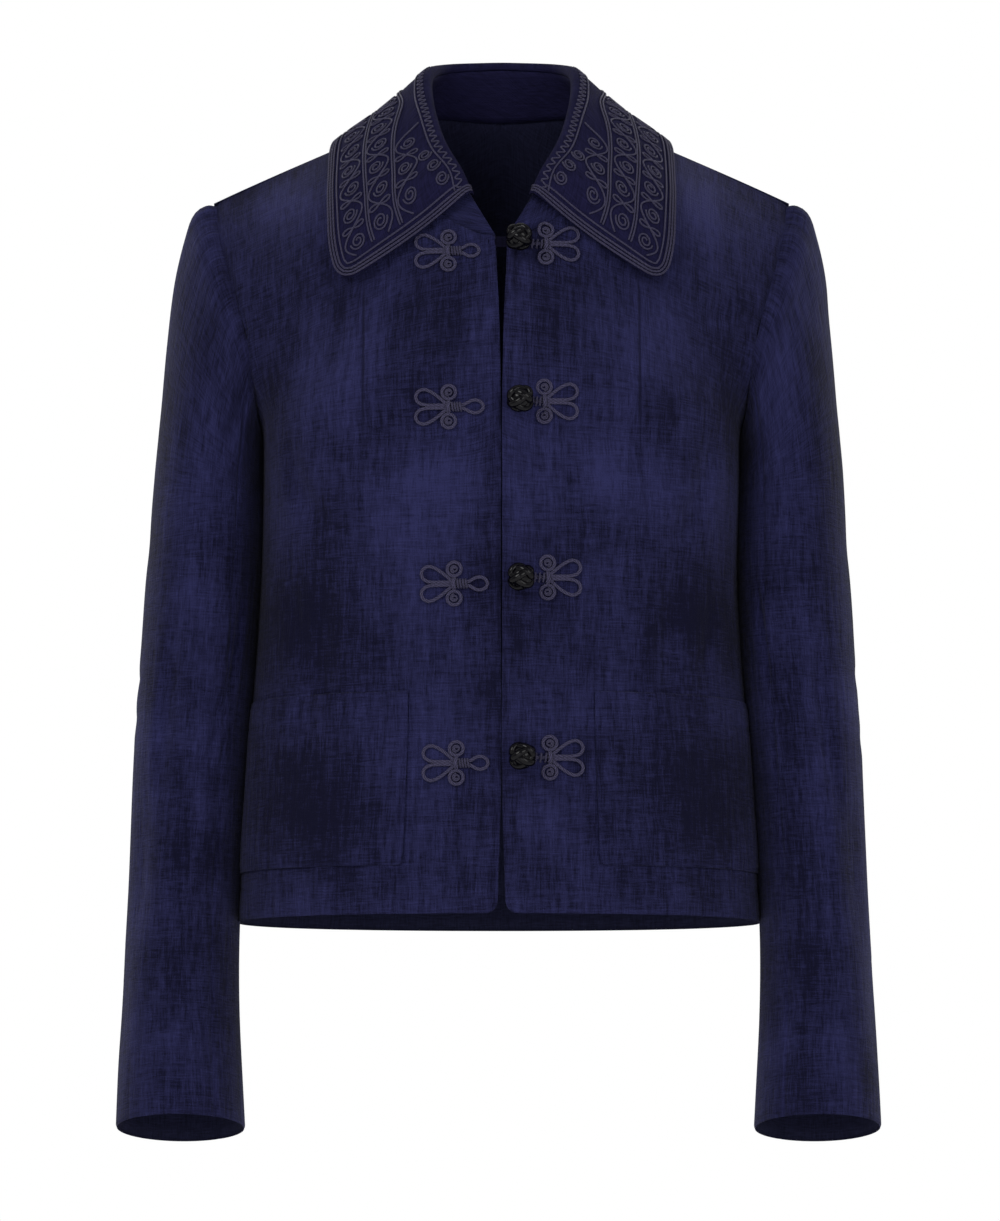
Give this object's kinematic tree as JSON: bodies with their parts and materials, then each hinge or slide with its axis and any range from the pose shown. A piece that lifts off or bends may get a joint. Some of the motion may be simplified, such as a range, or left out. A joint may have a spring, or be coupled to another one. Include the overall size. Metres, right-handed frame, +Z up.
{
  "type": "frog-closure jacket",
  "caption": "Cropped jacket in its worn form, with edge-to-edge fronts, a turned-down collar edged in braid, patch pockets, long sleeves and braided frogs with ball knots.",
  "frame": {"origin": "midway between the two side neck points, where the jacket hangs on the wearer's shoulders", "axes": "+Z up, -Y out of the front, +X towards the wearer's left; the jacket is upright as worn"},
  "size_m": [0.514, 0.2506, 0.7346],
  "materials": {
    "jacket_cloth": "slubbed indigo cloth, matt with a slight nap",
    "collar_cloth": "plain dark navy cloth, matt",
    "braid": "charcoal soutache and cord, matt",
    "knot_satin": "black satin cord, glossy"
  },
  "bodies": {
    "root": {"upper_sleeve_left": "jacket_cloth", "upper_sleeve_right": "jacket_cloth", "under_sleeve_left": "jacket_cloth", "under_sleeve_right": "jacket_cloth", "front_left": "jacket_cloth", "front_right": "jacket_cloth", "back": "jacket_cloth", "collar_stand": "collar_cloth", "collar_fall": "collar_cloth", "pocket_left": "jacket_cloth", "pocket_right": "jacket_cloth", "collar_edge_braid": "braid", "frog_loop_1": "braid", "frog_knot_half_1": "braid", "knot_button_1": "knot_satin", "frog_loop_2": "braid", "frog_knot_half_2": "braid", "knot_button_2": "knot_satin", "frog_loop_3": "braid", "frog_knot_half_3": "braid", "knot_button_3": "knot_satin", "frog_loop_4": "braid", "frog_knot_half_4": "braid", "knot_button_4": "knot_satin"}
  },
  "joints": []
}
